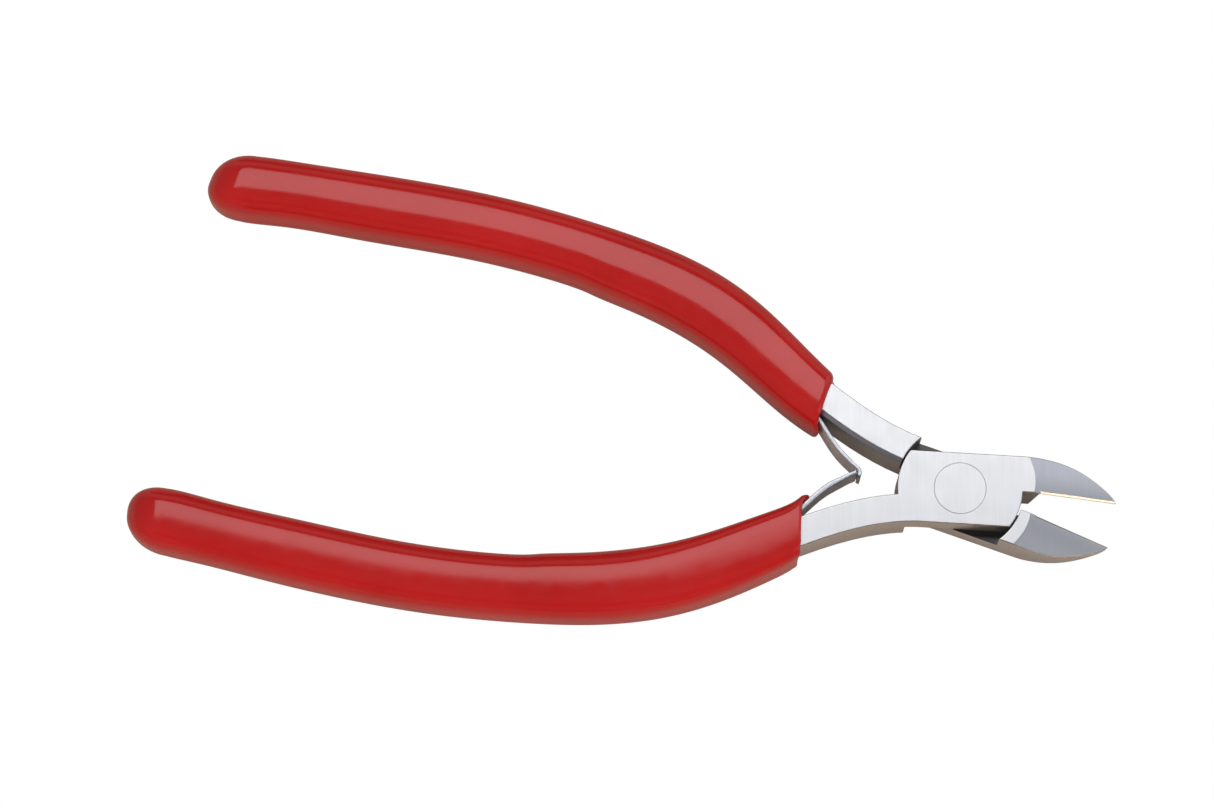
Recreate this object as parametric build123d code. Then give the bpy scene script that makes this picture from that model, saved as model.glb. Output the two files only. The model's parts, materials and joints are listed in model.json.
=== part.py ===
"""Diagonal cutting pliers: a lap-jointed pair of levers on one flush rivet, held open by
two leaf springs that hook into each other, with a dipped grip on each handle.

The row frame has +X towards the jaw tips, along the line that halves the open jaws, and +Z
along the pivot. The origin is on the pivot axis, in the plane of the head's underside.
Each lever is drawn in its own frame, with its cutting edge on the X axis, its jaw on the
+Y side and its handle on the -Y side, and is then turned into place.
"""
import math
import os

from build123d import *

os.makedirs("parts", exist_ok=True)

# Driving dimensions, in millimetres and degrees
opening = 16.3             # angle between the two cutting edges with the springs at rest
thickness = 6.7            # levers, from face to face
lap_gap = 0.04             # between the two half-thickness laps
lap_radius = 7.9           # rounded ends of each lap
shoulder_clearance = 0.2   # between a lap's rounded end and the other lever's shoulder
head_half_width = 4.6      # from the cutting line to the side of the head
jaw_length = 20.1          # pivot to tip
jaw_root = 4.9             # where the jaw starts, inside the lap
jaw_shoulder = 9.0         # where the side of the jaw starts to curve in
jaw_bulge = (14.9, 3.63)   # points that the side of the jaw passes
jaw_point = (18.8, 1.38)
jaw_tip_turn = -60.0       # direction of that side at the tip
edge_gap = 0.02            # each cutting edge stops this far short of the cutting line
bar_width = 3.6            # steel handle, seen from above
handle_chamfer = 0.5       # along the inner edge of the handle, on the face away from the lap
upper_flare = 0.4          # extra width on the inner side of the upper lever's handle
handle_chamfer_depth = 0.4
lap_corner_radius = 0.35

# Grinding of the jaws
nose_start = 9.5           # where the top face starts to slope down to the tip
nose_slope = 18.5
nose_crown = 20.0          # radius across the sloping face
nose_crown_line = 1.2      # crown's highest line, from the cutting edge
under_start = 10.3         # where the underside starts to rise to the tip
under_slope = 12.5
relief_start = 10.1        # where the hollow behind the cutting edge starts
relief_lean = 8.0          # lean of the hollow's end wall
relief_angle = 27.0
facet_width = 0.26         # small bevel above the cutting edge
facet_drop = 0.37

# Pivot rivet
rivet_radius = 2.6
rivet_head_radius = 3.32
rivet_head_depth = 0.8
rivet_clearance = 0.03     # around the rivet in the lever that turns on it
rivet_edge = 0.06          # broken edge round each flush head

# Handles: centre line of each bar, in the lever's own frame
bar_root_x = -5.0
bar_end = -100.0
lower_path = [(-9.5, -3.15), (-15, -4.95), (-22, -7.7), (-32, -12.0), (-44, -14.95),
              (-57, -15.6), (-76, -14.05), (-93, -11.1), (-106, -8.6)]
upper_path = [(-9.5, -2.75), (-15, -4.3), (-22, -6.35), (-32.5, -10.55), (-43.5, -13.1),
              (-55, -13.55), (-77, -11.4), (-93, -8.6), (-106, -5.7)]

# Dipped grips
grip_mouth = -19.8         # where the grip ends, near the head
grip_depth = 9.0           # from face to face
grip_edge_radius = 2.9
lower_grip_end = -101.2    # start of the rounded end cap
upper_grip_end = -100.4
grip_cap = 4.0
grip_inner = [(-15, 4.4), (-40, 4.5), (-62, 4.08), (-80, 4.1), (-102, 3.9)]    # (x, from the centre line)
grip_outer = [(-15, 3.2), (-40, 4.4), (-62, 4.08), (-80, 4.1), (-102, 3.9)]

# Leaf springs
leaf_thickness = 0.48
leaf_height = 4.8          # along the pivot axis
leaf_gap = 0.08            # between a leaf's rounded root and its tail
lower_leaf_line = [(-19.45, -3.18), (-18.7, -2.33), (-17.6, -1.24), (-16.3, -0.25), (-14.6, 0.82)]
upper_leaf_line = [(-19.45, -2.52), (-18.4, -1.62), (-17.0, -0.5), (-15.4, 0.5), (-14.1, 1.18)]
tip_place = (-13.42, -0.42)  # where the two tips meet at rest, in the row frame
tip_slope = 32.0           # direction of a leaf at its tip
hook_clearance = 0.22      # between the hook and the rounded tip inside it
hook_wrap = 115.0
tail_end = -54.0           # buried end of a leaf's tail
tail_lift = -26.0          # where the tail leaves the handle
bar_overlap = 0.2          # the tail is drawn this far into the handle, then cut to it
lower_mouth_slope = 48.0   # direction of each leaf where it leaves its grip
upper_mouth_slope = 42.0

# Rivets that hold the tails to the handles
tail_rivet_x = -49.0
tail_rivet_radius = 1.0
tail_rivet_head_radius = 1.7
tail_rivet_head_height = 0.6

middle = thickness / 2
hook_radius = leaf_thickness / 2 + hook_clearance
hook_angles = (tip_slope - 90, tip_slope - 90 + hook_wrap)
shoulder_radius = lap_radius + shoulder_clearance
reach = 200.0              # longer than anything that it cuts


def direction(angle):
    return Vector(math.cos(math.radians(angle)), math.sin(math.radians(angle)))


def eased(x, table):
    """Smooth reading of a table of (x, value), with x falling."""
    for (x_a, value_a), (x_b, value_b) in zip(table, table[1:]):
        if x >= x_b:
            break
    share = (x - x_a) / (x_b - x_a)
    return value_a + (value_b - value_a) * (1 - math.cos(math.pi * share)) / 2


def handle_curve(path):
    root_y = bar_width / 2 - head_half_width
    return Spline((bar_root_x, root_y), *path, tangents=[(-1, 0), Vector(*path[-1]) - Vector(*path[-2])])


def station(curve, x):
    """Point of a handle's centre line at x, and the outward normal there."""
    low, high = 0.0, 1.0
    for _ in range(40):
        half = (low + high) / 2
        if (curve @ half).X > x:
            low = half
        else:
            high = half
    along = curve % low
    return curve @ low, Vector(-along.Y, along.X)


def offset_points(curve, x_from, x_to, distance, count=12):
    """Points beside a centre line; distance is a function of x, positive outwards."""
    points = []
    for i in range(count + 1):
        x = x_from + (x_to - x_from) * i / count
        place, outward = station(curve, x)
        points.append(place + outward * distance(x))
    return points


def outline_face(inner, outer):
    """Face between two rows of points, with straight ends."""
    ends = Line(inner[-1], outer[-1]), Line(outer[0], inner[0])
    return make_face([Spline(*inner), ends[0], Spline(*reversed(outer)), ends[1]])


def grip_face(curve, end):
    """Plan of a grip: its sides run on round the far end."""
    start = grip_mouth + grip_edge_radius
    inner = offset_points(curve, start, end, lambda x: -eased(x, grip_inner))
    outer = offset_points(curve, start, end, lambda x: eased(x, grip_outer))
    place, outward = station(curve, end)
    ahead = Vector(outward.Y, -outward.X)
    centre = (inner[-1] + outer[-1]) / 2
    half = (outer[-1] - inner[-1]).length / 2
    turn = [centre + outward * (half * math.sin(math.radians(a)))
            + ahead * (grip_cap * math.cos(math.radians(a))) for a in (-60, -30, 0, 30, 60)]
    return make_face([Spline(*inner, *turn, *reversed(outer)), Line(outer[0], inner[0])])


def slab(face, low, high):
    return extrude(Pos(0, 0, low) * face, high - low)


def slope_plane(x, y, z, angle):
    """Plane through a point that falls towards +X by the angle."""
    sine, cosine = math.sin(math.radians(angle)), math.cos(math.radians(angle))
    return Plane(origin=(x, y, z), x_dir=(cosine, 0, -sine), z_dir=(sine, 0, cosine))


def jaw_blank():
    start = Vector(jaw_root, head_half_width)
    shoulder = Vector(jaw_shoulder, head_half_width)
    tip = Vector(jaw_length, edge_gap)
    corner = Vector(jaw_root, edge_gap)
    side = Spline(shoulder, jaw_bulge, jaw_point, tip, tangents=[(1, 0), direction(jaw_tip_turn)])
    outline = [Line(corner, start), Line(start, shoulder), side, Line(tip, corner)]
    return slab(make_face(outline), 0, thickness)


def nose_cut():
    slope = slope_plane(nose_start, nose_crown_line, thickness, nose_slope)
    crown = slope * Pos(0, 0, -nose_crown) * Rot(0, 90, 0) * Cylinder(nose_crown, reach)
    return slope * Box(reach, nose_crown, nose_crown) - crown


def under_cut():
    slope = slope_plane(under_start, 0, 0, -under_slope)
    return slope * Pos(0, 0, -thickness) * Box(reach, reach, 2 * thickness)


def edge_cut():
    """Small bevel above the cutting edge and the hollow below it, along the sloping face."""
    slope = math.radians(nose_slope)
    lean = math.radians(relief_lean)
    edge_z = thickness - (relief_start - nose_start) * math.tan(slope) - facet_drop
    end_wall = Plane(
        origin=(relief_start, edge_gap, edge_z),
        x_dir=(0, 1, 0),
        z_dir=(math.cos(lean), 0, -math.sin(lean)),
    )
    depth = 2 * thickness
    profile = make_face(Polyline(
        (0, 0),
        (2 * facet_width, 2 * facet_drop),
        (-thickness, 2 * facet_drop),
        (-thickness, -depth),
        (depth * math.tan(math.radians(relief_angle)), -depth),
        (0, 0),
    ))
    return extrude(end_wall * profile, amount=2 * jaw_length, dir=(math.cos(slope), 0, -math.sin(slope)))


def jaw():
    return jaw_blank() - nose_cut() - under_cut() - edge_cut()


def lap(low, high):
    outline = Rectangle(2 * reach, 2 * head_half_width) & Circle(lap_radius)
    outline = fillet(outline.vertices(), lap_corner_radius)
    return slab(outline, low, high)


def rivet_shape(clearance=0.0):
    """Flush rivet with a sunk head at each face, grown by a clearance for the hole round it."""
    shank = Pos(0, 0, middle) * Cylinder(rivet_radius + clearance, thickness)
    head = Cone(rivet_radius + clearance, rivet_head_radius + clearance, rivet_head_depth)
    top = Pos(0, 0, thickness - rivet_head_depth / 2) * head
    bottom = Pos(0, 0, rivet_head_depth / 2) * Rot(180, 0, 0) * head
    return shank + top + bottom


def pivot_rivet():
    body = rivet_shape()
    rims = body.edges().filter_by(GeomType.CIRCLE).group_by(Axis.Z)
    return chamfer(rims[0] + rims[-1], rivet_edge)


def bar_blank(curve, flare):
    """Steel handle before its edges are broken, wider on its inner side by the flare."""
    inner = offset_points(curve, bar_root_x, bar_end, lambda x: -bar_width / 2 - flare)
    outer = offset_points(curve, bar_root_x, bar_end, lambda x: bar_width / 2)
    return slab(outline_face(inner, outer), 0, thickness)


def bar(curve, flare, chamfer_z):
    """Steel handle, with a broken inner edge on one face."""
    body = bar_blank(curve, flare)
    face = [f for f in body.faces() if abs(f.center().Z - chamfer_z) < 0.01][0]
    sides = [e for e in face.edges() if e.length > 2 * bar_width]
    inner = max(sides, key=lambda e: e.center().Y)
    return chamfer(inner, handle_chamfer, handle_chamfer_depth, reference=face)


def lever(path, flare, lap_low, lap_high, hole_clearance):
    """One lever in its own frame: handle, half-thickness lap and jaw."""
    lap_is_high = lap_high > middle
    body = jaw() + bar(handle_curve(path), flare, 0 if lap_is_high else thickness)
    cut_low = -1 if lap_is_high else lap_high
    cut_high = lap_low if lap_is_high else thickness + 1
    body -= slab(Circle(shoulder_radius), cut_low, cut_high)
    body += lap(lap_low, lap_high)
    return body - rivet_shape(hole_clearance)


def tail_rivet(curve, flare):
    """Rivet across the handle, through the tail of the leaf."""
    place, outward = station(curve, tail_rivet_x)
    axis = Plane(origin=place + Vector(0, 0, middle), z_dir=outward)
    tail_side = -bar_width / 2 - flare - leaf_thickness
    far_side = bar_width / 2
    body = axis * Pos(0, 0, (tail_side + far_side) / 2) * Cylinder(tail_rivet_radius, far_side - tail_side)
    head = Cylinder(tail_rivet_head_radius, tail_rivet_head_height)
    body += axis * Pos(0, 0, tail_side - tail_rivet_head_height / 2) * head
    return body + axis * Pos(0, 0, far_side + tail_rivet_head_height / 2) * head


def strip(points, tangents):
    """Strip of leaf spring along a curve, standing on edge about mid thickness."""
    curve = Spline(*points, tangents=tangents)
    half = leaf_thickness / 2
    left, right = [], []
    count = 3 * len(points)
    for i in range(count + 1):
        along = curve % (i / count)
        side = Vector(-along.Y, along.X) * half
        left.append(curve @ (i / count) + side)
        right.append(curve @ (i / count) - side)
    return slab(outline_face(left, right), middle - leaf_height / 2, middle + leaf_height / 2)


def post(x, y, radius):
    """Upright round of the leaf's height."""
    return Pos(x, y, middle) * Cylinder(radius, leaf_height)


def spring_tail(path, flare, hinge, mouth_slope):
    """Buried end of a leaf, riveted along the handle and bent away at the grip's mouth."""
    curve = handle_curve(path)
    side = bar_width / 2 + flare
    near = offset_points(curve, tail_end, tail_lift, lambda x: bar_overlap - side)
    far = offset_points(curve, tail_end, tail_lift, lambda x: -side - leaf_thickness)
    place, outward = station(curve, tail_lift)
    back = Vector(outward.Y, -outward.X)
    start = place - outward * (side + leaf_thickness / 2) + back * leaf_thickness
    ahead = direction(mouth_slope)
    last = Vector(*hinge) - ahead * (leaf_thickness / 2 + leaf_gap)
    low = middle - leaf_height / 2
    flat = slab(outline_face(near, far), low, low + leaf_height) - bar_blank(curve, flare)
    return flat + (strip([start, last], [-back, ahead]) - bar_blank(curve, flare))


def hook(tip):
    """Curl that starts beside the tip and wraps round it."""
    outer_radius = hook_radius + leaf_thickness
    start, end = hook_angles
    half = (start + end) / 2
    inside = [tip + direction(a) * hook_radius for a in (start, half, end)]
    outside = [tip + direction(a) * outer_radius for a in (end, half, start)]
    outline = [
        ThreePointArc(*inside),
        Line(inside[-1], outside[0]),
        ThreePointArc(*outside),
        Line(outside[-1], inside[0]),
    ]
    return slab(make_face(outline), middle - leaf_height / 2, middle + leaf_height / 2)


def leaf(line, mouth_slope, tip, hooked):
    """Free part of a leaf: rounded at its root, with a rounded tip or a hook round that tip."""
    beside = direction(hook_angles[0]) * (hook_radius + leaf_thickness / 2)
    last = tip + beside if hooked else tip
    root = Vector(*line[0])
    body = strip([*line, last], [direction(mouth_slope), direction(tip_slope)])
    end = hook(tip) if hooked else post(tip.X, tip.Y, leaf_thickness / 2)
    return body + post(root.X, root.Y, leaf_thickness / 2) + end


def grip(path, end):
    """Dipped grip, rounded all round, before what it covers is taken out of it."""
    low = middle - grip_depth / 2
    body = slab(grip_face(handle_curve(path), end), low, low + grip_depth)
    body = fillet([e for e in body.edges() if e.length > -end], grip_edge_radius)
    beyond = Pos(grip_mouth + reach / 2, 0, middle) * Box(reach, reach, reach)
    return body - beyond


def place_lower(shape):
    return Rot(0, 0, opening / 2) * shape


def place_upper(shape):
    return Rot(0, 0, -opening / 2) * mirror(shape, about=Plane.XZ)


def lever_set(path, flare, body, grip_end, leaf_line, mouth_slope, tip, hooked):
    """Everything on one lever, in the lever's own frame."""
    rivet = tail_rivet(handle_curve(path), flare)
    tail = spring_tail(path, flare, leaf_line[0], mouth_slope) - rivet
    body -= rivet
    return {
        "lever": body,
        "spring_tail": tail,
        "spring_rivet": rivet,
        "spring_leaf": leaf(leaf_line, mouth_slope, tip, hooked),
        "grip": grip(path, grip_end) - body - tail - rivet,
    }


def build():
    half_gap = lap_gap / 2
    tip = Vector(*tip_place)
    lower_tip = tip.rotate(Axis.Z, -opening / 2)
    upper_tip = tip.rotate(Axis.Z, opening / 2)
    lower = lever_set(
        lower_path, 0, lever(lower_path, 0, middle + half_gap, thickness, 0), lower_grip_end,
        lower_leaf_line, lower_mouth_slope, lower_tip, False,
    )
    upper = lever_set(
        upper_path, upper_flare, lever(upper_path, upper_flare, 0, middle - half_gap, rivet_clearance),
        upper_grip_end, upper_leaf_line, upper_mouth_slope, Vector(upper_tip.X, -upper_tip.Y), True,
    )
    parts = {"pivot_rivet": pivot_rivet()}
    parts.update({"lower_" + name: place_lower(shape) for name, shape in lower.items()})
    parts.update({"upper_" + name: place_upper(shape) for name, shape in upper.items()})
    return parts


for node, shape in build().items():
    export_step(shape, "parts/" + node + ".step")
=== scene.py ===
import json
import math

import bpy
import numpy as np
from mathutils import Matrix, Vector

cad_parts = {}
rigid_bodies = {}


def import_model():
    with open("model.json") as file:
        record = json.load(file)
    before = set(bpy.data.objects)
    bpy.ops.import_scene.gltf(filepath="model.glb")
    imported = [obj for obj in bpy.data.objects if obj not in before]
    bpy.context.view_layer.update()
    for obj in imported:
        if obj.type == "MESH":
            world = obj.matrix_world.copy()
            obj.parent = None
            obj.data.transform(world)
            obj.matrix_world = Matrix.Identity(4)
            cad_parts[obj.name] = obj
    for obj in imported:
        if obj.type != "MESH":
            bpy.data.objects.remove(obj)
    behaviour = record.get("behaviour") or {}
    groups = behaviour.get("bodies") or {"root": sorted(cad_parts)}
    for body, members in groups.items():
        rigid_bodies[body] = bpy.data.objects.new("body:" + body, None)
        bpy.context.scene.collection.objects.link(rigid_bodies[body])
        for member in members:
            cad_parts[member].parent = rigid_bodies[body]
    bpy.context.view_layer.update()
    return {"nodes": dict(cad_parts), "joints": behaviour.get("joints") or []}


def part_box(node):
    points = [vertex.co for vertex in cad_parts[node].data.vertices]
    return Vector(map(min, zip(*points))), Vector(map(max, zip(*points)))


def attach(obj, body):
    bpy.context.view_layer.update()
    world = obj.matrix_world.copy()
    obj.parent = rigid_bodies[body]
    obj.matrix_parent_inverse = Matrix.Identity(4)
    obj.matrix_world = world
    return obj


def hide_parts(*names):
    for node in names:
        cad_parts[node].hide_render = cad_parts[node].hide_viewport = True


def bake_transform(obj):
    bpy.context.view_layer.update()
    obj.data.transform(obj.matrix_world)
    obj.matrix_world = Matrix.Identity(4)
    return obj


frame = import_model()
nodes = frame["nodes"]
scene = bpy.context.scene
scene.view_settings.view_transform = "Standard"

mm = 0.001
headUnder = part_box("lower_lever")[0].z
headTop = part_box("lower_lever")[1].z
midHeight = (headUnder + headTop) / 2
pivotJoint = next(j for j in frame["joints"] if j["name"] == "pivot")
halfOpening = math.radians(max(pivotJoint["range_deg"])) / 2    # from the middle line to each lever
print("frame loaded", len(nodes), "nodes")


# Camera: looks down on the tool, whose head points to the right
view = {
    "turn": 11.65,          # degrees that the head points down to the right
    "elevation": 76.0,
    "distance": 0.520,
    "aim": (-0.04604, 0.00248),
    "lens": 120.7,
}

turn = math.radians(view["turn"])
rightWay = Vector((math.cos(turn), math.sin(turn), 0))
awayWay = Vector((-math.sin(turn), math.cos(turn), 0))
upWay = Vector((0, 0, 1))


def studioPoint(right, away, up):
    # point = pivot + right * rightWay + away * awayWay + up * upWay
    return rightWay * right + awayWay * away + upWay * up


def addCamera(v):
    camera = bpy.data.objects.new("camera", bpy.data.cameras.new("camera"))
    scene.collection.objects.link(camera)
    tilt = math.radians(v["elevation"])
    aim = Vector((v["aim"][0], v["aim"][1], midHeight))
    back = studioPoint(0, -math.cos(tilt), math.sin(tilt))
    camera.location = aim + back * v["distance"]
    camera.rotation_euler = (-back).to_track_quat("-Z", "Y").to_euler()
    camera.data.lens = v["lens"]
    camera.data.sensor_width = 36
    camera.data.clip_start = 0.01
    scene.camera = camera


addCamera(view)


def newNode(tree, kind, **settings):
    node = tree.nodes.new(kind)
    for key, value in settings.items():
        if hasattr(node, key):
            setattr(node, key, value)
        else:
            node.inputs[key.replace("_", " ")].default_value = value
    return node


def mathNode(tree, operation, a, b=None):
    node = tree.nodes.new("ShaderNodeMath")
    node.operation = operation
    for slot, value in ((0, a), (1, b)):
        if value is None:
            continue
        if isinstance(value, (int, float)):
            node.inputs[slot].default_value = value
        else:
            tree.links.new(value, node.inputs[slot])
    return node.outputs[0]


def mixColour(tree, amount, a, b):
    node = tree.nodes.new("ShaderNodeMix")
    node.data_type = "RGBA"
    for slot, value in ((0, amount), (6, a), (7, b)):
        if hasattr(value, "is_linked"):
            tree.links.new(value, node.inputs[slot])
        elif slot == 0:
            node.inputs[slot].default_value = value
        else:
            node.inputs[slot].default_value = (*value, 1)
    return node.outputs[2]


def rangeOf(tree, value, fromMin, fromMax, toMin, toMax, smooth=False):
    node = tree.nodes.new("ShaderNodeMapRange")
    node.interpolation_type = "SMOOTHSTEP" if smooth else "LINEAR"
    tree.links.new(value, node.inputs[0])
    for slot, number in enumerate((fromMin, fromMax, toMin, toMax), 1):
        node.inputs[slot].default_value = number
    return node.outputs[0]


def newGroup(name, inputs, outputs):
    group = bpy.data.node_groups.new(name, "ShaderNodeTree")
    for label, kind, value in inputs:
        socket = group.interface.new_socket(label, in_out="INPUT", socket_type=kind)
        if value is not None:
            socket.default_value = value
    for label, kind in outputs:
        group.interface.new_socket(label, in_out="OUTPUT", socket_type=kind)
    return group, group.nodes.new("NodeGroupInput"), group.nodes.new("NodeGroupOutput")


def placeGroup(tree, group, **values):
    node = tree.nodes.new("ShaderNodeGroup")
    node.node_tree = group
    for key, value in values.items():
        node.inputs[key].default_value = value
    return node


def grindGroup():
    # Fine grinding: noise stretched along one way, turned about Z.
    # lines = noise(x / pitch, y / run, z / run), in mm
    group, given, made = newGroup(
        "grindLines",
        [("Vector", "NodeSocketVector", None), ("Turn", "NodeSocketFloat", 0.0),
         ("Pitch", "NodeSocketFloat", 0.15), ("Run", "NodeSocketFloat", 6.0)],
        [("Lines", "NodeSocketFloat"), ("Broad", "NodeSocketFloat")],
    )
    turned = group.nodes.new("ShaderNodeVectorRotate")
    turned.rotation_type = "Z_AXIS"
    group.links.new(given.outputs["Vector"], turned.inputs["Vector"])
    group.links.new(given.outputs["Turn"], turned.inputs["Angle"])
    split = group.nodes.new("ShaderNodeSeparateXYZ")
    group.links.new(turned.outputs[0], split.inputs[0])
    across = mathNode(group, "DIVIDE", 1000.0, given.outputs["Pitch"])
    along = mathNode(group, "DIVIDE", 1000.0, given.outputs["Run"])
    joined = group.nodes.new("ShaderNodeCombineXYZ")
    group.links.new(mathNode(group, "MULTIPLY", split.outputs[0], across), joined.inputs[0])
    group.links.new(mathNode(group, "MULTIPLY", split.outputs[1], along), joined.inputs[1])
    group.links.new(mathNode(group, "MULTIPLY", split.outputs[2], along), joined.inputs[2])
    fine = newNode(group, "ShaderNodeTexNoise", Scale=1.0, Detail=4.0, Roughness=0.65)
    group.links.new(joined.outputs[0], fine.inputs["Vector"])
    broad = newNode(group, "ShaderNodeTexNoise", Scale=0.13, Detail=2.0, Roughness=0.5)
    group.links.new(joined.outputs[0], broad.inputs["Vector"])
    group.links.new(fine.outputs[0], made.inputs["Lines"])
    group.links.new(broad.outputs[0], made.inputs["Broad"])
    return group


def edgeGroup():
    # Broken edges: the normal is rounded over Radius, and Edge, the mask of the painted edge shade, goes from
    # 0 to 1 where that turns it by 10 to 31 degrees
    group, given, made = newGroup(
        "brokenEdges", [("Radius", "NodeSocketFloat", 0.0001)],
        [("Edge", "NodeSocketFloat"), ("Normal", "NodeSocketVector")],
    )
    rounded = newNode(group, "ShaderNodeBevel", samples=8)
    group.links.new(given.outputs["Radius"], rounded.inputs["Radius"])
    geometry = group.nodes.new("ShaderNodeNewGeometry")
    facing = newNode(group, "ShaderNodeVectorMath", operation="DOT_PRODUCT")
    group.links.new(rounded.outputs[0], facing.inputs[0])
    group.links.new(geometry.outputs["True Normal"], facing.inputs[1])
    group.links.new(rangeOf(group, facing.outputs["Value"], 0.86, 0.985, 1, 0), made.inputs["Edge"])
    group.links.new(rounded.outputs[0], made.inputs["Normal"])
    return group


def lapGroup():
    # Painted lap shade: 1 on level faces at the height where the levers slide on each other, which lie in
    # shade under the other lever's head.
    # Level is 1 on any level face.
    group, given, made = newGroup(
        "shadedLap", [("Vector", "NodeSocketVector", None)],
        [("LapShade", "NodeSocketFloat"), ("Level", "NodeSocketFloat")],
    )
    height = group.nodes.new("ShaderNodeSeparateXYZ")
    group.links.new(given.outputs["Vector"], height.inputs[0])
    geometry = group.nodes.new("ShaderNodeNewGeometry")
    upright = group.nodes.new("ShaderNodeSeparateXYZ")
    group.links.new(geometry.outputs["True Normal"], upright.inputs[0])
    lift = mathNode(group, "ABSOLUTE", upright.outputs[2])
    offLap = mathNode(group, "ABSOLUTE", mathNode(group, "SUBTRACT", height.outputs[2], midHeight))
    near = rangeOf(group, offLap, 0.05 * mm, 0.15 * mm, 1, 0)
    lap = mathNode(group, "MULTIPLY", near, rangeOf(group, lift, 0.97, 0.99, 0, 1))
    group.links.new(lap, made.inputs["LapShade"])
    group.links.new(rangeOf(group, lift, 0.5, 0.8, 0, 1), made.inputs["Level"])
    return group


def flushGroup():
    # Flush rivet: from the distance to the pivot axis, Share is Least in the rivet's circle and 1 beyond it
    group, given, made = newGroup(
        "flushRivet", [("Vector", "NodeSocketVector", None), ("Least", "NodeSocketFloat", 0.2)],
        [("Share", "NodeSocketFloat")],
    )
    flat = newNode(group, "ShaderNodeVectorMath", operation="MULTIPLY")
    flat.inputs[1].default_value = (1, 1, 0)
    group.links.new(given.outputs["Vector"], flat.inputs[0])
    away = newNode(group, "ShaderNodeVectorMath", operation="LENGTH")
    group.links.new(flat.outputs["Vector"], away.inputs[0])
    circle = (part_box("pivot_rivet")[1].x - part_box("pivot_rivet")[0].x) / 2
    beyond = rangeOf(group, away.outputs["Value"], circle + 0.3 * mm, circle + 0.6 * mm, 0, 1)
    least = given.outputs["Least"]
    rest = mathNode(group, "MULTIPLY", beyond, mathNode(group, "SUBTRACT", 1.0, least))
    group.links.new(mathNode(group, "ADD", rest, least), made.inputs["Share"])
    return group


grind = grindGroup()
flushRivet = flushGroup()
brokenEdges = edgeGroup()
shadedLap = lapGroup()


def emptyMaterial(name):
    material = bpy.data.materials.new(name)
    material.use_nodes = True
    material.node_tree.nodes.clear()
    tree = material.node_tree
    surface = tree.nodes.new("ShaderNodeBsdfPrincipled")
    output = tree.nodes.new("ShaderNodeOutputMaterial")
    tree.links.new(surface.outputs[0], output.inputs[0])
    return material, tree, surface


# Ground steel of the levers, and of the rivets and springs
steel = {
    "flat": (0.70, 0.705, 0.73),
    "dark": (0.655, 0.66, 0.685),
    "lap": (0.09, 0.084, 0.08),    # painted shade: dark colour painted on the lap faces, and on the broken edges
    "edgeShade": 0.8,        # share of that painted shade on the broken edges
    "roughness": (0.27, 0.36),
    "pitch": 0.13,          # mm between grinding lines on level faces
    "run": 7.0,             # mm along them
    "sidePitch": 0.22,
    "sideRun": 9.0,
    "edge": 0.20 * mm,      # rounding of the broken edges
    "bump": 0.035,
    "bumpHeight": 0.06 * mm,
    "cloudScale": 420.0,    # faint cloudiness of the shine
    "turn": -turn,          # of the grinding lines, about Z
    "rivetEdge": 0.22,      # share of the edge, and of its painted shade, that is left where the rivet is ground flush
}
rivetLook = {**steel, "flat": (0.71, 0.715, 0.73), "edgeShade": 0.2}
springLook = {
    **steel,
    "flat": (0.84, 0.87, 0.92),
    "dark": (0.72, 0.75, 0.80),
    "edge": 0.04 * mm,
    "edgeShade": 0.1,
    "roughness": (0.40, 0.50),
    "turn": 0.6,
}


def steelMaterial(name, s):
    material, tree, surface = emptyMaterial(name)
    place = tree.nodes.new("ShaderNodeTexCoord").outputs["Object"]
    lap = placeGroup(tree, shadedLap)
    top = placeGroup(tree, grind, Turn=s["turn"], Pitch=s["pitch"], Run=s["run"])
    side = placeGroup(tree, grind, Pitch=s["sidePitch"], Run=s["sideRun"])
    cloud = newNode(tree, "ShaderNodeTexNoise", Scale=s["cloudScale"], Detail=3.0)
    for node in (lap, top, side, cloud):
        tree.links.new(place, node.inputs["Vector"])
    lines = tree.nodes.new("ShaderNodeMix")
    tree.links.new(lap.outputs["Level"], lines.inputs[0])
    tree.links.new(side.outputs["Lines"], lines.inputs[2])
    tree.links.new(top.outputs["Lines"], lines.inputs[3])
    lineValue = lines.outputs[0]
    tone = mathNode(tree, "ADD", mathNode(tree, "MULTIPLY", lineValue, 0.7),
                    mathNode(tree, "MULTIPLY", top.outputs["Broad"], 0.3))
    colour = mixColour(tree, rangeOf(tree, tone, 0.30, 0.62, 0, 1), s["dark"], s["flat"])
    flush = placeGroup(tree, flushRivet, Least=s["rivetEdge"])
    tree.links.new(place, flush.inputs["Vector"])
    edges = placeGroup(tree, brokenEdges)
    tree.links.new(mathNode(tree, "MULTIPLY", flush.outputs["Share"], s["edge"]), edges.inputs["Radius"])
    # painted shade: the broken edges are darkened in the base colour, less where the rivet is ground flush
    edgeShade = mathNode(tree, "MULTIPLY", flush.outputs["Share"], s["edgeShade"])
    colour = mixColour(tree, mathNode(tree, "MULTIPLY", edges.outputs["Edge"], edgeShade), colour, s["lap"])
    # painted shade: the lap faces are darkened in the base colour
    colour = mixColour(tree, lap.outputs["LapShade"], colour, s["lap"])
    tree.links.new(colour, surface.inputs["Base Color"])
    rough = mathNode(tree, "ADD", mathNode(tree, "MULTIPLY", lineValue, 0.6),
                     mathNode(tree, "MULTIPLY", cloud.outputs[0], 0.4))
    smooth, coarse = s["roughness"]
    tree.links.new(rangeOf(tree, rough, 0.3, 0.7, coarse, smooth), surface.inputs["Roughness"])
    surface.inputs["Metallic"].default_value = 1.0
    bump = newNode(tree, "ShaderNodeBump", Strength=s["bump"], Distance=s["bumpHeight"])
    tree.links.new(edges.outputs["Normal"], bump.inputs["Normal"])
    tree.links.new(lineValue, bump.inputs["Height"])
    tree.links.new(bump.outputs[0], surface.inputs["Normal"])
    return material


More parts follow.
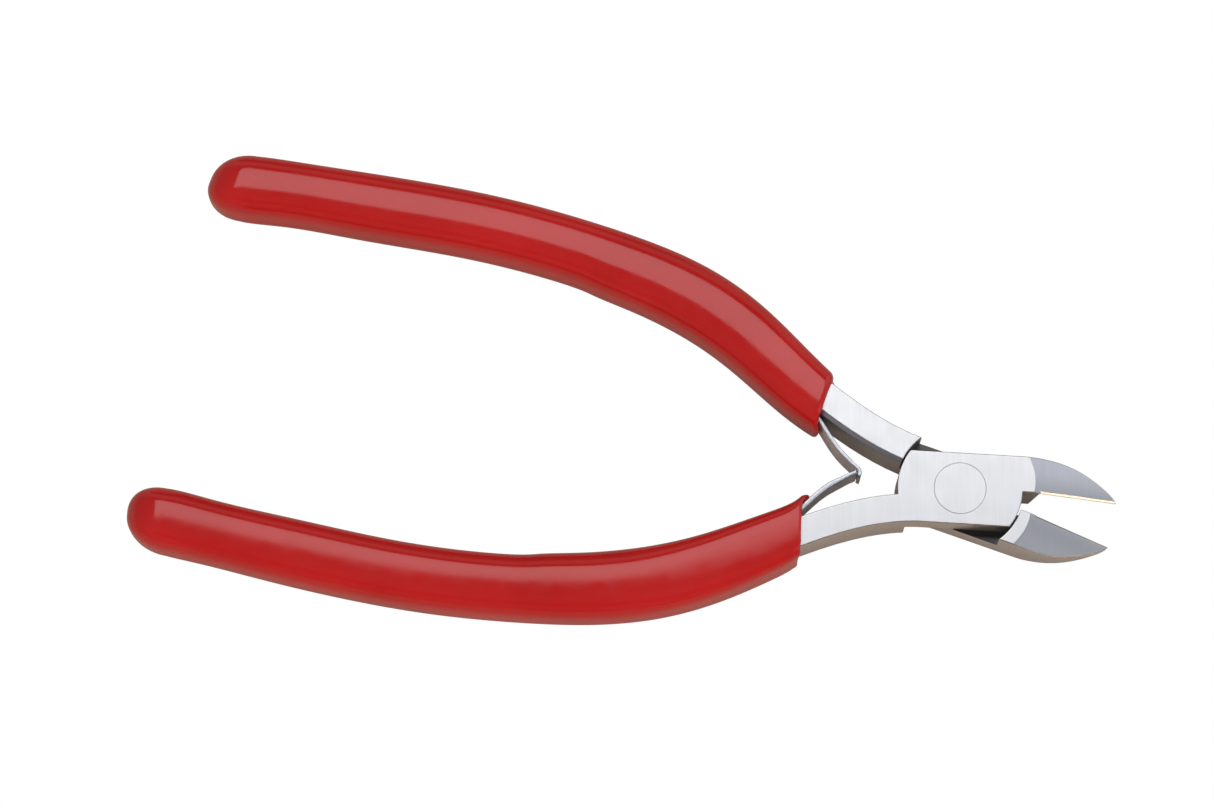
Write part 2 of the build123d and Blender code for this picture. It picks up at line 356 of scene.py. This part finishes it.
groundSteel = steelMaterial("groundSteel", steel)
rivetSteel = steelMaterial("rivetSteel", rivetLook)
springSteel = steelMaterial("springSteel", springLook)


def wear(object_, material):
    object_.data.materials.clear()
    object_.data.materials.append(material)


for name in ("lower_lever", "upper_lever"):
    wear(nodes[name], groundSteel)
for name in ("pivot_rivet", "lower_spring_rivet", "upper_spring_rivet"):
    wear(nodes[name], rivetSteel)
print("steel done")


def toLever(points, side):
    # lever frame: x' = x cos h + s y sin h, y' = -x sin h + s y cos h, where s is 1 for the lower lever
    # and -1 for the upper, so the outer side of either is the one with the lesser y'
    c, s = math.cos(halfOpening), math.sin(halfOpening)
    x, y = points[..., 0], points[..., 1] * side
    return np.stack([x * c + y * s, y * c - x * s, points[..., 2]], axis=-1)


def fromLever(points, side):
    # the way back: x = x' cos h - y' sin h, s y = x' sin h + y' cos h
    c, s = math.cos(halfOpening), math.sin(halfOpening)
    x, y = points[..., 0], points[..., 1]
    return np.stack([x * c - y * s, (x * s + y * c) * side, points[..., 2]], axis=-1)


def triangleEdges(node, side):
    mesh = nodes[node].data
    mesh.calc_loop_triangles()
    points = np.zeros(len(mesh.vertices) * 3)
    mesh.vertices.foreach_get("co", points)
    corners = np.zeros(len(mesh.loop_triangles) * 3, np.int32)
    mesh.loop_triangles.foreach_get("vertices", corners)
    triangles = toLever(points.reshape(-1, 3), side)[corners.reshape(-1, 3)]
    return np.concatenate([triangles[:, (0, 1)], triangles[:, (1, 2)], triangles[:, (2, 0)]])


def sidesAt(node, side, stations):
    # least and greatest y' of a node on each plane x' = station, from the edges that cross the plane
    edges = triangleEdges(node, side)
    a, b = edges[:, 0], edges[:, 1]
    low, high = np.minimum(a[:, 0], b[:, 0]), np.maximum(a[:, 0], b[:, 0])
    found = []
    for station in stations:
        crossing = (low < station) & (high > station)
        p, q = a[crossing], b[crossing]
        y = p[:, 1] + (q[:, 1] - p[:, 1]) * (station - p[:, 0]) / (q[:, 0] - p[:, 0])
        found.append((y.min(), y.max()) if len(y) else (np.nan, np.nan))
    return np.array(found)


def gridPiece(name, points, side, material):
    # points[i, j]: i runs along the piece, j round it. A pole at the mean of each end ring closes that end.
    rows, ring = points.shape[:2]
    i, j = np.meshgrid(np.arange(rows - 1), np.arange(ring), indexing="ij")
    after = (j + 1) % ring
    quads = np.stack([i * ring + j, i * ring + after, (i + 1) * ring + after, (i + 1) * ring + j], axis=-1)
    around = np.arange(ring)
    after = (around + 1) % ring
    base = (rows - 1) * ring
    start = np.stack([after, around, np.full(ring, rows * ring)], axis=-1)
    end = np.stack([base + around, base + after, np.full(ring, rows * ring + 1)], axis=-1)
    vertices = np.concatenate([points.reshape(-1, 3), points[:1].mean(1), points[-1:].mean(1)])
    faces = quads.reshape(-1, 4)[:, ::side].tolist() + np.concatenate([start, end])[:, ::side].tolist()
    mesh = bpy.data.meshes.new(name)
    mesh.from_pydata(vertices.tolist(), [], faces)
    mesh.polygons.foreach_set("use_smooth", np.ones(len(faces), bool))
    mesh.update()
    piece = bpy.data.objects.new(name, mesh)
    scene.collection.objects.link(piece)
    piece.data.materials.append(material)
    return piece


def superEllipse(angles, power):
    # (sign(cos a) |cos a|^(2/p), sign(sin a) |sin a|^(2/p))
    c, s = np.cos(angles), np.sin(angles)
    return np.sign(c) * np.abs(c) ** (2 / power), np.sign(s) * np.abs(s) ** (2 / power)


# Dipped vinyl grips. Distances along a grip are x', and its inner side faces the other handle.
grips = {
    "halfHeight": 4.5 * mm,
    "power": 3.1,             # squareness of the section
    "capLength": 5.0 * mm,    # rounded far end
    "capPower": 2.15,
    "inset": 0.01 * mm,       # keeps the sleeve inside the size of its part
    "endInset": 0.09 * mm,
    "stepPlace": -53.0 * mm,  # where the buried tail of the spring ends
    "step": 0.13 * mm,
    "stepRise": 1.6 * mm,
    "stepFade": 7.5 * mm,
    "mouthRun": 24.0 * mm,    # the section changes over this length, up to the mouth
    "lipRun": 4.0 * mm,
    "lipWidth": 0.42,         # radians round the section
    "wander": 0.10 * mm,      # unevenness of the mouth's edge
    "boreGap": 0.03 * mm,
    "borePower": 9,
    "collarWall": 0.3 * mm,
    "collarRound": 0.12 * mm,
    "collarWidth": 0.8,       # radians round the section
    "leastCollar": 0.04 * mm,
    "stations": 90,           # planes on which the part is measured
    "degree": 11,             # of the curves that are fitted to it
    "capRows": 44,
    "rows": 250,
    "ring": 112,
    "colour": (0.425, 0.009, 0.008),
    "colourDeep": (0.385, 0.007, 0.006),
    "roughness": (0.10, 0.16),
    "broadScale": 90.0,       # slow unevenness of colour and surface
    "fineScale": 700.0,
    "bump": 0.35,
    "bumpHeight": 0.12 * mm,
    "lower": {
        "mouthPower": 4.8,
        "pinch": 0.65 * mm,      # the inner side comes this much nearer the bar
        "swell": 0.15 * mm,      # the outer side goes this much further from it
        "flare": 1.10 * mm,      # the inner side turns out again just at the mouth
        "tuck": 0.60 * mm,       # the outer side turns in just at the mouth
        "flareRun": 1.0 * mm,
        "lip": 1.1 * mm,         # tongue of vinyl along the spring
        "rim": 0.40 * mm,        # rounding of the mouth
        "collar": 0.1 * mm,      # thin vinyl that creeps along the steel on the outer side
    },
    "upper": {
        "mouthPower": 3.3,
        "pinch": 0.05 * mm,
        "swell": 0.0 * mm,
        "flare": -0.25 * mm,
        "tuck": 0.25 * mm,
        "flareRun": 1.0 * mm,
        "lip": 0.85 * mm,
        "rim": 0.65 * mm,
        "collar": 0.45 * mm,
    },
}


def gripMaterial(g):
    material, tree, surface = emptyMaterial("dippedVinyl")
    place = tree.nodes.new("ShaderNodeTexCoord").outputs["Object"]
    broad = newNode(tree, "ShaderNodeTexNoise", Scale=g["broadScale"], Detail=2.0)
    fine = newNode(tree, "ShaderNodeTexNoise", Scale=g["fineScale"], Detail=2.0)
    for noise in (broad, fine):
        tree.links.new(place, noise.inputs["Vector"])
    colour = mixColour(tree, rangeOf(tree, broad.outputs[0], 0.35, 0.65, 0, 1), g["colour"], g["colourDeep"])
    tree.links.new(colour, surface.inputs["Base Color"])
    tree.links.new(rangeOf(tree, fine.outputs[0], 0.3, 0.7, *g["roughness"]), surface.inputs["Roughness"])
    height = mathNode(tree, "ADD", broad.outputs[0], mathNode(tree, "MULTIPLY", fine.outputs[0], 0.06))
    bump = newNode(tree, "ShaderNodeBump", Strength=g["bump"], Distance=g["bumpHeight"])
    tree.links.new(height, bump.inputs["Height"])
    tree.links.new(bump.outputs[0], surface.inputs["Normal"])
    return material


vinyl = gripMaterial(grips)


def gripLine(half, side, g):
    # the part's ends, and smooth curves through its centre c(x) and half width a(x)
    along = triangleEdges(half + "_grip", side)[..., 0]
    farEnd, mouth = along.min() + g["endInset"], along.max()
    known = np.linspace(farEnd + g["capLength"], mouth - 0.3 * mm, g["stations"])
    sides = sidesAt(half + "_grip", side, known)
    fit = np.polynomial.Chebyshev.fit
    centreFit = fit(known, sides.mean(1), g["degree"])
    widthFit = fit(known, (sides[:, 1] - sides[:, 0]) / 2, g["degree"])
    return farEnd, mouth, known, centreFit, widthFit


def roundBump(angles, middle, width):
    # exp(-(angle from the middle / width)^2), with the angle the short way round
    return np.exp(-(np.angle(np.exp(1j * (angles - middle))) / width) ** 2)


def gripSkin(line, angles, side, g, own):
    # Outer skin, row by row: a superellipse of half width a(x) and half height h, both closing at the far
    # end as (1 - (1 - d / cap)^q)^(1/q). Towards the mouth a smooth step pinches the inner side and swells
    # the outer one, then they flare and tuck as exp(-distance / run). The rim turns in by r (1 - cos t).
    farEnd, mouth, known, centreFit, widthFit = line
    share = np.linspace(0, 1, g["capRows"])[1:]
    cap = farEnd + g["capLength"] * (1 - np.cos(share * np.pi / 2))
    share = 1 - (1 - np.linspace(0, 1, g["rows"])[1:]) ** 1.5    # rows close up towards the mouth
    x = np.concatenate([cap, cap[-1] + (mouth - own["rim"] - cap[-1]) * share])
    depth = np.clip((x - farEnd) / g["capLength"], 0, 1)
    closing = (1 - (1 - depth) ** g["capPower"]) ** (1 / g["capPower"])
    kept = np.maximum(x, known[0])
    centre = centreFit(kept) + centreFit.deriv()(known[0]) * (x - kept)
    near = x - g["stepPlace"]
    step = g["step"] * np.tanh(near / g["stepRise"]) * np.exp(-(near / g["stepFade"]) ** 2)
    towards = np.clip((x - mouth + g["mouthRun"]) / g["mouthRun"], 0, 1)
    towards = towards * towards * (3 - 2 * towards)
    atMouth = np.exp((x - mouth) / own["flareRun"])
    innerSide = step - own["pinch"] * towards + own["flare"] * atMouth
    outerSide = own["swell"] * towards - own["tuck"] * atMouth
    halfWidth = (widthFit(kept) - g["inset"]) * closing + (innerSide + outerSide) / 2
    centre = centre + (innerSide - outerSide) / 2
    across, upward = superEllipse(angles, (g["power"] + (own["mouthPower"] - g["power"]) * towards)[:, None])
    # the mouth's edge: a tongue on the inner side, and a slow wander round it
    tongue = own["lip"] * roundBump(angles, 0, g["lipWidth"])
    push = tongue + g["wander"] * (np.sin(3 * angles + side) + 0.6 * np.sin(7 * angles + 2.1 * side))
    push = np.clip((x - mouth + g["lipRun"]) / g["lipRun"], 0, 1)[:, None] ** 2 * push
    slopes = centreFit.deriv()(np.clip(x, known[0], known[-1]))
    skin = np.stack([
        x[:, None] + push,
        centre[:, None] + halfWidth[:, None] * across + push * slopes[:, None],
        midHeight + (g["halfHeight"] * closing)[:, None] * upward,
    ], axis=-1)
    inward = np.stack([np.zeros_like(angles), -across[-1], -upward[-1]], axis=-1)
    inward /= np.linalg.norm(inward, axis=1)[:, None]
    forward = np.array([1, slopes[-1], 0])
    t = np.linspace(0, np.pi / 2, 9)[1:, None, None]
    rim = skin[-1] + own["rim"] * (np.sin(t) * forward + (1 - np.cos(t)) * inward)
    return np.concatenate([skin, rim]), inward, forward


def gripBore(half, side, mouth, angles, g):
    # Bore: a squarer superellipse that holds the bar and the spring's tail with a small gap
    lever = half + "_lever"
    barEnd = triangleEdges(lever, side)[..., 0].min()
    deep = np.linspace(mouth - 0.05 * mm, barEnd - 0.15 * mm, g["stations"])
    bar = sidesAt(lever, side, np.maximum(deep, barEnd + 0.1 * mm))
    spring = sidesAt(half + "_spring_tail", side, deep)
    low = np.fmin(bar[:, 0], spring[:, 0]) - g["boreGap"]
    high = np.fmax(bar[:, 1], spring[:, 1]) + g["boreGap"]
    across, upward = superEllipse(angles, g["borePower"])
    y = ((low + high) / 2)[:, None] + ((high - low) / 2)[:, None] * across
    z = midHeight + (headTop - midHeight + g["boreGap"]) * upward
    return np.stack([np.broadcast_to(deep[:, None], y.shape), y, np.broadcast_to(z, y.shape)], axis=-1)


def gripCollar(foot, inward, forward, angles, g, own):
    # four rings from the mouth's face out along the steel and back, furthest on the outer side
    creep = own["collar"] * roundBump(angles, np.pi, g["collarWidth"]) + g["leastCollar"]
    creep = creep[:, None] * forward
    wall = foot - inward * g["collarWall"]
    return np.stack([wall, wall + creep * 0.9, wall + creep + inward * g["collarRound"], foot + creep * 1.05])


def addGrip(half, side, g):
    angles = np.linspace(0, 2 * np.pi, g["ring"], endpoint=False)
    line = gripLine(half, side, g)
    skin, inward, forward = gripSkin(line, angles, side, g, g[half])
    bore = gripBore(half, side, line[1], angles, g)
    collar = gripCollar(bore[0], inward, forward, angles, g, g[half])
    shape = fromLever(np.concatenate([skin, collar, bore]), side)
    piece = gridPiece(half + "GripSleeve", shape, side, vinyl)
    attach(piece, half + "_half")
    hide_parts(half + "_grip")


for half, side in (("lower", 1), ("upper", -1)):
    addGrip(half, side, grips)
print("grips done")


# Leaf springs: each strip begins under its grip, and the upper one hooks round the lower one's end
leaf = {
    "thickness": {"lower": 0.62 * mm, "upper": 0.54 * mm},
    "tipThickness": 0.46 * mm,
    "tipRun": 2.0 * mm,
    "height": 4.8 * mm,
    "corner": 0.11 * mm,
    "buried": 12.0 * mm,      # length kept under the grip
    "trim": 0.5 * mm,         # the rounded ends at the root are not measured
    "tipTrim": {"lower": 0.35 * mm, "upper": 0.9 * mm},
    "tipGap": 0.04 * mm,
    "hookRadius": 0.70 * mm,  # to the middle of the strip
    "hookWrap": 72.0,
    "tipSlope": 32.0,
    "blendAhead": 1.2 * mm,
    "blendBeside": 1.0 * mm,
    "degree": 9,              # of the curve that is fitted to the two solids
}


def leafLine(half, side, l):
    # middle line of the strip: a smooth curve through the mean of its two sides on planes of constant x',
    # along the tail and then the leaf, which goes on straight to the tip at tipSlope
    tail, free = half + "_spring_tail", half + "_spring_leaf"
    tailFar = triangleEdges(tail, side)[..., 0].max()
    along = triangleEdges(free, side)[..., 0]
    leafEnd = along.max() - l["tipTrim"][half]
    places = np.linspace(tailFar - l["buried"], tailFar - l["trim"], 30)
    beyond = np.linspace(along.min() + l["trim"], leafEnd, 24)
    y = np.concatenate([sidesAt(tail, side, places).mean(1), sidesAt(free, side, beyond).mean(1)])
    fit = np.polynomial.Chebyshev.fit(np.concatenate([places, beyond]), y, l["degree"])
    slope = math.radians(l["tipSlope"])
    if half == "upper":    # room for the hook
        lineEnd = along.max() - l["hookRadius"] * (1 - math.sin(slope)) - l["thickness"][half] / 2
    else:
        lineEnd = along.max() - l["tipGap"]
    x = np.linspace(places[0], leafEnd, 110)
    more = np.linspace(leafEnd, lineEnd, 8)[1:]
    ending = np.stack([more, fit(leafEnd) + math.tan(slope) * (more - leafEnd)], axis=-1)
    return np.concatenate([np.stack([x, fit(x)], axis=-1), ending])


def withHook(line, l):
    # circle round the other leaf's tip, begun where the strip arrives: centre + r (cos a, sin a)
    direction = line[-1] - line[-4]
    direction /= np.linalg.norm(direction)
    centre = line[-1] + np.array([-direction[1], direction[0]]) * l["hookRadius"]
    arrival = line[-1] - centre
    sweep = math.atan2(arrival[1], arrival[0]) + np.radians(np.linspace(0, l["hookWrap"], 30))[1:]
    hook = centre + l["hookRadius"] * np.stack([np.cos(sweep), np.sin(sweep)], axis=-1)
    return np.concatenate([line, hook])


def stripAlong(line, thickness, l):
    # rounded rectangle carried along the line: point = line + normal * across + up * height. It is
    # tipThickness within half a tipRun of its end, and reaches its own thickness one tipRun further back.
    ahead = np.gradient(line, axis=0)
    ahead /= np.linalg.norm(ahead, axis=1)[:, None]
    normal = np.stack([-ahead[:, 1], ahead[:, 0]], axis=-1)
    quarter = np.linspace(0, np.pi / 2, 4)
    corner, a, b = l["corner"], thickness / 2 - l["corner"], l["height"] / 2 - l["corner"]
    angles = np.concatenate([quarter + k * np.pi / 2 for k in range(4)])
    signs = np.repeat([[1, 1], [-1, 1], [-1, -1], [1, -1]], 4, axis=0)
    across = signs[:, 0] * a + corner * np.cos(angles)
    upward = signs[:, 1] * b + corner * np.sin(angles)
    toTip = np.linalg.norm(line - line[-1], axis=1) / l["tipRun"]
    narrow = 1 - (1 - l["tipThickness"] / thickness) * np.clip(1.5 - toTip, 0, 1)
    plan = line[:, None] + normal[:, None] * (across * narrow[:, None])[..., None]
    z = np.broadcast_to(midHeight + upward, plan.shape[:2])
    return np.concatenate([plan, z[..., None]], axis=-1)


def addLeaf(half, side, l):
    line = leafLine(half, side, l)
    if half == "upper":
        line = withHook(line, l)
    shape = fromLever(stripAlong(line, l["thickness"][half], l), side)
    piece = gridPiece(half + "LeafSpring", shape, side, springSteel)
    root = next(j for j in frame["joints"] if j["name"] == half + "_leaf_flex")["pos_m"]
    root = toLever(np.array(root), side)
    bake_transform(piece)
    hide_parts(half + "_spring_leaf", half + "_spring_tail")


for half, side in (("lower", 1), ("upper", -1)):
    addLeaf(half, side, leaf)
print("springs done")


# White floor, and soft light. The room's light changes over the ranges given for how far a direction goes
# right (rightFrom), left (leftFrom) or away (the others).
studio = {
    "floorHeight": min(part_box("lower_grip")[0].z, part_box("upper_grip")[0].z),
    "floorHalf": 2.5,
    "floorSteps": 10,
    "floorTone": (0.42, 0.34, 0.275),    # as the tool reflects it
    "front": (0.10, 0.10, 0.11),
    "right": (0.80, 0.83, 0.91),
    "rightFrom": (0.42, 0.62),
    "rightDepth": (-0.75, -0.35),
    "seam": 0.02,              # soft dark seam between two cards on the right
    "seamWidth": 0.26,
    "seamLight": 0.25,
    "left": (0.22, 0.225, 0.24),
    "leftFrom": (0.30, 0.60),
    "behind": (0.50, 0.46, 0.42),
    "behindFrom": (0.70, 0.76),
    "far": (0.11, 0.12, 0.15),
    "farFrom": (0.88, 0.95),
}

softboxes = {
    "overheadBox": {"right": -0.05, "away": 0.46, "up": 1.0, "width": 0.95, "depth": 0.52, "power": 3.3},
    "fillBox": {"right": -0.05, "away": -0.10, "up": 1.2, "width": 1.5, "depth": 1.5, "power": 11.0,
                "unseen": True},
    "frontFillBox": {"right": -0.05, "away": -1.0, "up": 0.35, "width": 1.4, "depth": 0.6, "power": 7.5,
                     "unseen": True, "aimed": True},
    "glowCard": {"right": 0.25, "away": -0.75, "up": 0.024, "width": 0.7, "depth": 0.04, "power": 4.0,
                 "aimed": True, "colour": (1.0, 0.74, 0.46), "steelOnly": True},
}


def seenAsWhite(tree, hidden, glowing):
    # the camera sees white, from a node of the glowing type, and everything else meets the hidden shader
    white = newNode(tree, glowing, Color=(1, 1, 1, 1), Strength=1.0)
    path = tree.nodes.new("ShaderNodeLightPath")
    mixed = tree.nodes.new("ShaderNodeMixShader")
    tree.links.new(path.outputs["Is Camera Ray"], mixed.inputs[0])
    tree.links.new(hidden.outputs[0], mixed.inputs[1])
    tree.links.new(white.outputs[0], mixed.inputs[2])
    return mixed


def floorMaterial(s):
    material = bpy.data.materials.new("floorPaper")
    material.use_nodes = True
    tree = material.node_tree
    tree.nodes.clear()
    diffuse = newNode(tree, "ShaderNodeBsdfDiffuse", Color=(*s["floorTone"], 1))
    output = tree.nodes.new("ShaderNodeOutputMaterial")
    tree.links.new(seenAsWhite(tree, diffuse, "ShaderNodeEmission").outputs[0], output.inputs[0])
    return material


def addFloor(s):
    # flat square grid, z = floorHeight
    count = s["floorSteps"]
    steps = np.linspace(-s["floorHalf"], s["floorHalf"], count + 1)
    x, y = np.meshgrid(steps, steps, indexing="ij")
    points = np.stack([x, y, np.full_like(x, s["floorHeight"])], axis=-1).reshape(-1, 3)
    i, j = np.meshgrid(np.arange(count), np.arange(count), indexing="ij")
    first = (i * (count + 1) + j).reshape(-1)
    faces = np.stack([first, first + count + 1, first + count + 2, first + 1], axis=-1)
    mesh = bpy.data.meshes.new("floor")
    mesh.from_pydata(points.tolist(), [], faces.tolist())
    floor = bpy.data.objects.new("floor", mesh)
    scene.collection.objects.link(floor)
    floor.data.materials.append(floorMaterial(s))


def alongWay(tree, place, way):
    along = newNode(tree, "ShaderNodeVectorMath", operation="DOT_PRODUCT")
    along.inputs[1].default_value = way
    tree.links.new(place, along.inputs[0])
    return along.outputs["Value"]


def addWorld(s):
    world = bpy.data.worlds.new("studioWorld")
    scene.world = world
    world.use_nodes = True
    tree = world.node_tree
    tree.nodes.clear()
    place = tree.nodes.new("ShaderNodeTexCoord").outputs["Generated"]
    right, left, away = (alongWay(tree, place, way) for way in (rightWay, -rightWay, awayWay))

    def shareOf(value, limits):
        return rangeOf(tree, value, *limits, 0, 1, True)

    offSeam = mathNode(tree, "ABSOLUTE", mathNode(tree, "SUBTRACT", away, s["seam"]))
    seam = rangeOf(tree, offSeam, 0, s["seamWidth"], s["seamLight"], 1, True)
    card = mathNode(tree, "MULTIPLY", shareOf(away, s["rightDepth"]), seam)
    card = mathNode(tree, "MULTIPLY", shareOf(right, s["rightFrom"]), card)
    colour = mixColour(tree, card, s["front"], s["right"])
    colour = mixColour(tree, shareOf(left, s["leftFrom"]), colour, s["left"])
    colour = mixColour(tree, shareOf(away, s["behindFrom"]), colour, s["behind"])
    colour = mixColour(tree, shareOf(away, s["farFrom"]), colour, s["far"])
    sky = tree.nodes.new("ShaderNodeBackground")
    tree.links.new(colour, sky.inputs[0])
    output = tree.nodes.new("ShaderNodeOutputWorld")
    tree.links.new(seenAsWhite(tree, sky, "ShaderNodeBackground").outputs[0], output.inputs[0])


def steelPieces():
    pieces = bpy.data.collections.new("metalOnly")
    for thing in scene.objects:
        if thing.type == "MESH" and any("Steel" in m.name for m in thing.data.materials if m):
            pieces.objects.link(thing)
    return pieces


def addSoftbox(name, b):
    light = bpy.data.objects.new(name, bpy.data.lights.new(name, "AREA"))
    scene.collection.objects.link(light)
    light.data.shape = "RECTANGLE"
    light.data.size = b["width"]
    light.data.size_y = b["depth"]
    light.data.energy = b["power"]
    light.data.color = b.get("colour", (1, 1, 1))
    light.location = studioPoint(b["right"], b["away"], b["up"])
    light.rotation_euler = (0, 0, turn)    # straight down
    if b.get("aimed"):
        light.rotation_euler = (-light.location).to_track_quat("-Z", "Y").to_euler()
    if b.get("steelOnly"):
        light.light_linking.receiver_collection = steelPieces()
    light.visible_glossy = not b.get("unseen", False)


addFloor(studio)
addWorld(studio)
for name, values in softboxes.items():
    addSoftbox(name, values)
print("studio done")
